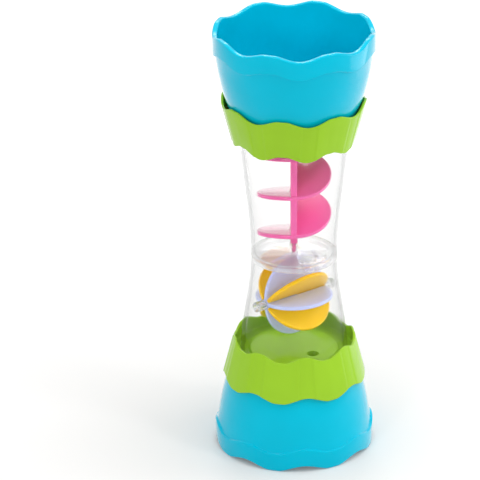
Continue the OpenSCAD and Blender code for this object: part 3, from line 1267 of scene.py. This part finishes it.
@dataclass
class PaddleWheel:
    """Paddle wheel: two rotors of half-disc vanes that reach past each other, on one axle.

    The centre is in metres. A side is 1 for the far half of the axle and -1 for the near half.
    """

    centre: Vector
    axis: Vector
    vanes: int = 4
    vane_turn: float = -5.0
    vane_r: float = 18.0
    vane_offset: float = 1.9
    vane_t: float = 2.0
    hub_d: float = 5.2
    hub_l: float = 36.4
    axle_d: float = 2.0
    bush_d: float = 5.0
    bush_out: float = 24.1
    end_play: float = 0.3
    axle_reach: float = 3.2
    play: float = 0.05
    running_fit: float = 0.1
    vane_gap: float = 0.2
    edge: float = 0.7
    arc_steps: int = 64

    @property
    def place(self) -> Matrix:
        """Finds the frame of the axle.

        Returns:
            The frame in metres, with Z along the axle to the far end and X up.
        """
        z = self.axis.normalized()
        x = Vector((0, 0, 1))
        y = z.cross(x)
        return Matrix.Translation(self.centre) @ Matrix((x, y, z)).transposed().to_4x4()

    def vane_outline(self, inset: float) -> list[Point]:
        """Draws a half disc that starts in its own hub and, on the other half, clears the other hub.

        Args:
            inset: distance from the edge.

        Returns:
            The outline, with X away from the axle and Y along it.
        """
        r = self.vane_r - inset
        own, other = (self.axle_d + self.hub_d) / 4, self.hub_d / 2 + self.vane_gap
        start = math.acos((own - self.vane_offset) / r)
        stop = -math.acos((other - self.vane_offset) / r)
        angles = [start + (stop - start) * i / self.arc_steps for i in range(self.arc_steps + 1)]
        arc = [(self.vane_offset + r * math.cos(a), r * math.sin(a)) for a in angles]
        return [*arc, (other, 0.0), (own, 0.0)]

    def rotor(self, name: str, side: int, turn: float, finish: Finish) -> bpy.types.Object:
        """Makes one rotor.

        Args:
            name: the piece's name.
            side: the half of the axle that its hub is on.
            turn: direction of its first vane, from upright towards the right front.
            finish: the finish of the rotor.

        Returns:
            The finished object.
        """
        # The vane's outline runs away from the axle and along it, towards the side of its own hub.
        along = Matrix(((1, 0, 0, 0), (0, 0, -1, 0), (0, side, 0, 0), (0, 0, 0, 1)))
        first = Matrix.Rotation(math.radians(turn), 4, "Z") @ along
        vane = slab("vane", self.vane_outline, self.vane_t, self.edge, first)
        bore, hub = self.axle_d / 2 + self.play, self.hub_d / 2
        low, high = side * self.play, side * self.hub_l / 2
        ring = [
            Corner(bore, (low + high) / 2),
            Corner(bore, low),
            Corner(hub, low),
            Corner(hub, high, bend=self.edge),
            Corner(bore, high),
        ]
        core = lathe("hub", filleted(ring, steps=4))
        drill = lathe("drill", self.rod_profile(bore))
        tree = GeometryTree(name + "_vanes")
        count = tree.size("Vanes", self.vanes)
        step = tree.size("Step between vanes", 2 * math.pi / self.vanes)
        spin = tree.vector(0.0, 0.0, tree.node("GeometryNodeInputIndex") * step)
        solid = tree.union(tree.repeated(tree.base, count, spin=spin), tree.brought(core))
        piece = tree.plain(tree.cut(solid, tree.brought(drill)), name, vane, finish)
        piece.data.transform(self.place)
        return piece

    def rod_profile(self, bore: float) -> list[Corner]:
        """Rod along the axle that cuts a bore through whatever it passes."""
        reach = self.hub_l
        return [Corner(0.0, -reach), Corner(bore, -reach), Corner(bore, reach), Corner(0.0, reach)]

    def bush_bore(self) -> bpy.types.Mesh:
        """What the bushes need bored out of the tube."""
        return lathe("bush_bore", self.rod_profile(self.bush_d / 2 + self.play), place=self.place)

    def bush(self, name: str, side: int) -> bpy.types.Object:
        """Makes the clear bush at one end of the axle.

        Args:
            name: the piece's name.
            side: the half of the axle that it is on.

        Returns:
            The finished object.
        """
        start = self.hub_l / 2 + self.end_play
        stop = start + self.axle_reach + self.end_play
        bore, outer = self.axle_d / 2 + self.running_fit, self.bush_d / 2
        soft = {"bend": self.edge / 2}
        profile = [
            Corner(0.0, side * stop),
            Corner(bore, side * stop),
            Corner(bore, side * start),
            Corner(outer, side * start, **soft),
            Corner(outer, side * self.bush_out, **soft),
            Corner(0.0, side * self.bush_out),
        ]
        tree = GeometryTree(name + "_bush")
        mesh = lathe(name, filleted(profile, steps=4), place=self.place)
        return tree.plain(tree.base, name, mesh, CLEAR_BUSH)


@dataclass
class SoftBox:
    """Square studio lamp that faces the toy, with its distance and size in metres and its power in watts."""

    name: str
    azimuth: float
    elevation: float
    distance: float
    size: float
    power: float

    def build(self, target: Vector) -> None:
        """Hangs the lamp round a target point.

        Args:
            target: the point that it faces.
        """
        lamp = bpy.data.lights.new(self.name, "AREA")
        lamp.energy = self.power
        lamp.shape = "SQUARE"
        lamp.size = self.size
        holder = linked(self.name, lamp)
        a, e = math.radians(self.azimuth), math.radians(self.elevation)
        way = Vector((math.sin(a) * math.cos(e), -math.cos(a) * math.cos(e), math.sin(e)))
        holder.location = target + way * self.distance
        holder.rotation_euler = (-way).to_track_quat("-Z", "Y").to_euler()


@dataclass
class Studio:
    """Pale floor with its side in metres, white surroundings and soft lamps."""

    floor_side: float = 12.0
    floor_cells: int = 8
    ambient: float = 0.76
    lamps: list[SoftBox] = field(
        default_factory=lambda: [
            SoftBox("side_lamp", azimuth=100, elevation=6, distance=0.4, size=0.26, power=0.55),
            SoftBox("front_lamp", azimuth=-25, elevation=18, distance=1.2, size=0.2, power=2.2),
            SoftBox("right_lamp", azimuth=60, elevation=46, distance=1.2, size=0.16, power=1.6),
            SoftBox("top_lamp", azimuth=20, elevation=84, distance=0.5, size=0.3, power=0.7),
            SoftBox("back_lamp", azimuth=184, elevation=40, distance=1.2, size=0.4, power=2.2),
        ]
    )

    def build(self, target: Vector) -> None:
        """Sets up the floor, the world and the lamps.

        Args:
            target: the point that the lamps face.
        """
        form = bmesh.new()
        cells = self.floor_cells
        bmesh.ops.create_grid(form, x_segments=cells, y_segments=cells, size=self.floor_side / 2)
        mesh = bpy.data.meshes.new("studio_floor")
        form.to_mesh(mesh)
        form.free()
        mesh.materials.append(StudioFloor("studio_floor").material())
        floor = linked("studio_floor", mesh)
        floor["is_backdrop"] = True
        world = bpy.data.worlds.new("studio_world")
        bpy.context.scene.world = world
        graph = fresh_graph(world)
        strength = self.ambient + seen_rays(graph) * (1 - self.ambient)
        sky = graph.node("ShaderNodeBackground", inputs={"Color": WHITE, "Strength": strength})
        graph.node("ShaderNodeOutputWorld", inputs={"Surface": sky})
        for lamp in self.lamps:
            lamp.build(target)


@dataclass
class CameraRig:
    """Camera at the photograph's place: its angle, distance, lens and where the toy's middle falls."""

    middle_z: float = 110.0
    elevation: float = 24.27
    distance: float = 1818.0
    frame_px: float = 480.0
    focal_px: float = 3692.5
    middle_px: Point = (293.98, 236.9)
    sensor: float = 36.0
    nearest: float = 10.0
    farthest: float = 50000.0

    def build(self) -> None:
        """Places the camera and turns it so that the toy's middle falls on its pixel."""
        e = math.radians(self.elevation)
        back = Vector((0, -math.cos(e), math.sin(e)))
        lens = bpy.data.cameras.new("camera")
        lens.sensor_width = self.sensor
        lens.lens = self.focal_px / self.frame_px * self.sensor
        lens.clip_start = self.nearest * MM
        lens.clip_end = self.farthest * MM
        camera = linked("camera", lens)
        aim = (-back).to_track_quat("-Z", "Y").to_matrix()
        across = (self.middle_px[0] - self.frame_px / 2) / self.focal_px
        down = (self.middle_px[1] - self.frame_px / 2) / self.focal_px
        yaw = Matrix.Rotation(math.atan(across), 3, "Y")
        pitch = Matrix.Rotation(math.atan(down), 3, "X")
        spot = Vector((0, 0, self.middle_z)) + back * self.distance
        camera.matrix_world = Matrix.Translation(spot * MM) @ (aim @ yaw @ pitch).to_4x4()
        bpy.context.scene.camera = camera


def main() -> None:
    """Builds the camera and the studio, then every piece round the frame."""
    logging.basicConfig(level=logging.INFO, format="%(name)s: %(message)s")
    bpy.ops.wm.read_factory_settings(use_empty=True)
    bpy.context.scene.view_settings.view_transform = "Standard"
    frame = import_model()
    cad_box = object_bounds()
    height = cad_box[1].z / MM
    upper_tube, lower_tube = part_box("upper_tube"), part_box("lower_tube")
    plate_low, plate_top = lower_tube[1].z / MM, upper_tube[0].z / MM
    CameraRig().build()
    Studio().build(Vector((0, 0, height / 2 * MM)))

    for end in (End.UPPER, End.LOWER):
        cup = WavyCup(end, height, CUP_TURNS[end])
        fixed(cup.build(), Body.HOUSING, Slot.CUP, end.value + "_cup")
        collar = WavyCollar(end, height, COLLAR_TURNS[end])
        fixed(collar.build(), Body.HOUSING, Slot.COLLAR, end.value + "_collar")

    spin = next(j for j in frame["joints"] if j["name"] == "wheel_spin")
    wheel = PaddleWheel(Vector(spin["pos_m"]), Vector(spin["axis"]))
    upper = HourglassTube(End.UPPER, plate_top, upper_tube[1].z / MM)
    fixed(upper.build(), Body.HOUSING, Slot.CLEAR, "upper_tube")
    lower = HourglassTube(End.LOWER, plate_low, lower_tube[0].z / MM)
    fixed(lower.build(wheel.bush_bore()), Body.HOUSING, Slot.CLEAR, "lower_tube")
    fixed(FlowPlate(plate_low, plate_top).build(), Body.HOUSING, Slot.CLEAR, "flow_plate")
    fixed(Auger(plate_top, height).build(), Body.AUGER, Slot.AUGER, "auger")

    fixed(wheel.rotor("lilac_vanes", -1, wheel.vane_turn, VANE_LILAC), Body.WHEEL, Slot.LILAC, "lilac_rotor")
    yellow_turn = wheel.vane_turn + 180 / wheel.vanes
    fixed(wheel.rotor("yellow_vanes", 1, yellow_turn, VANE_YELLOW), Body.WHEEL, Slot.YELLOW, "yellow_rotor")
    for name, side in (("near_axle_bush", -1), ("far_axle_bush", 1)):
        fixed(wheel.bush(name + "_ring", side), Body.HOUSING, Slot.CLEAR, name)
    axle = frame["nodes"]["wheel_axle"]
    axle.data.materials.clear()
    axle.data.materials.append(STEEL.material())


if __name__ == "__main__":
    main()
